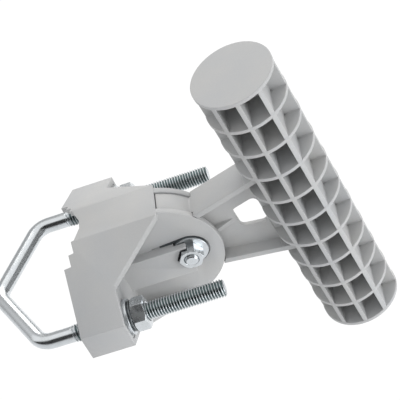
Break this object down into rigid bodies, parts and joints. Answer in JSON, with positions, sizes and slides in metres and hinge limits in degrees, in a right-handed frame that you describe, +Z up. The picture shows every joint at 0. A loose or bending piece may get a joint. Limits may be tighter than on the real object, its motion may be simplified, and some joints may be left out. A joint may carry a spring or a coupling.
{
  "type": "pole mount bracket",
  "caption": "Tilting pole bracket: a toothed saddle and V bolt clamp a pole, and a ribbed round stub on a tilting arm carries a device.",
  "frame": {"origin": "on the axis of the clamped pole, at the mid height of the saddle", "axes": "+Z up along the pole, +X from the pole towards the device stub, +Y to the far leg of the V bolt"},
  "size_m": [0.1716, 0.0912, 0.1542],
  "materials": {
    "saddle_plastic": "light grey moulded plastic, fine satin grain",
    "arm_plastic": "light grey moulded plastic, fine satin grain",
    "v_bolt_zinc": "bright zinc plating, smooth bent rod and rolled thread",
    "washer_zinc": "bright zinc plating",
    "lock_washer_zinc": "zinc plating, slightly dull",
    "nut_zinc": "bright zinc plating",
    "tilt_bolt_zinc": "bright zinc plating"
  },
  "bodies": {
    "base": {"saddle": "saddle_plastic", "flat_washers": "washer_zinc", "lock_washers": "lock_washer_zinc", "tilt_nut": "nut_zinc", "tilt_washers": "washer_zinc"},
    "arm": {"tilt_arm": "arm_plastic", "stub": "arm_plastic"},
    "clamp_bolt": {"v_bolt": "v_bolt_zinc"},
    "clamp_nut_near": {"near_nut": "nut_zinc"},
    "clamp_nut_far": {"far_nut": "nut_zinc"},
    "pinch_bolt": {"tilt_bolt": "tilt_bolt_zinc"}
  },
  "joints": [
    {"name": "arm_tilt", "type": "hinge", "parent": "base", "child": "arm", "pos_m": [0.0488, 0, 0], "axis": [0, -1, 0], "range_deg": [-10, 0]},
    {"name": "near_nut_spin", "type": "hinge", "parent": "base", "child": "clamp_nut_near", "pos_m": [0.0382, -0.035, 0], "axis": [-1, 0, 0], "range_deg": [-6078, 3198]},
    {"name": "far_nut_spin", "type": "hinge", "parent": "base", "child": "clamp_nut_far", "pos_m": [0.0382, 0.035, 0], "axis": [-1, 0, 0], "range_deg": [-6078, 3198]},
    {"name": "v_bolt_slide", "type": "slide", "parent": "base", "child": "clamp_bolt", "axis": [1, 0, 0], "range_m": [-0.021, 0.011]},
    {"name": "tilt_bolt_turn", "type": "hinge", "parent": "base", "child": "pinch_bolt", "pos_m": [0.0634, 0, 0], "axis": [0, 1, 0], "continuous": true}
  ],
  "couplings": [
    {"joint": "near_nut_spin", "follows": "v_bolt_slide", "rad_per_m": 5026.5},
    {"joint": "far_nut_spin", "follows": "v_bolt_slide", "rad_per_m": 5026.5}
  ]
}
